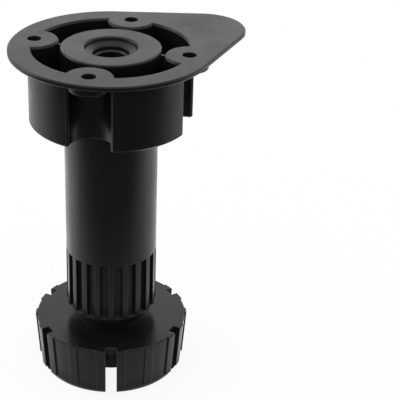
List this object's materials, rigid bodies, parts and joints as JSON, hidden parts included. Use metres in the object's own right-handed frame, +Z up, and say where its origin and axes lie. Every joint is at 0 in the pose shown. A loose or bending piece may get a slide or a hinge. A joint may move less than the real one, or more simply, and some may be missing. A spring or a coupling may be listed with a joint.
{
  "type": "adjustable cabinet leg",
  "caption": "Black plastic cabinet leg: drop-shaped screw flange over a skirt with driver channels, a tube with a fluted grip, and a notched foot that screws up and down.",
  "frame": {"origin": "on the leg's axis at floor level, with the foot at its height in the picture", "axes": "+Z up the leg's axis to the cabinet, +X towards the tip of the flange"},
  "size_m": [0.0872, 0.07, 0.1251],
  "materials": {
    "black_plastic": "satin"
  },
  "bodies": {
    "head": {"mounting_head": "black_plastic"},
    "tube": {"leg_tube": "black_plastic"},
    "foot": {"adjuster_foot": "black_plastic"}
  },
  "joints": [
    {"name": "tube_turn", "type": "hinge", "parent": "head", "child": "tube", "pos_m": [0, 0, 0.0986], "axis": [0, 0, 1], "range_deg": [-600, 3000]},
    {"name": "foot_height", "type": "slide", "parent": "head", "child": "foot", "axis": [0, 0, -1], "range_m": [-0.0051, 0.0251]}
  ],
  "couplings": [
    {"joint": "foot_height", "follows": "tube_turn", "m_per_rad": 0.00047746}
  ]
}
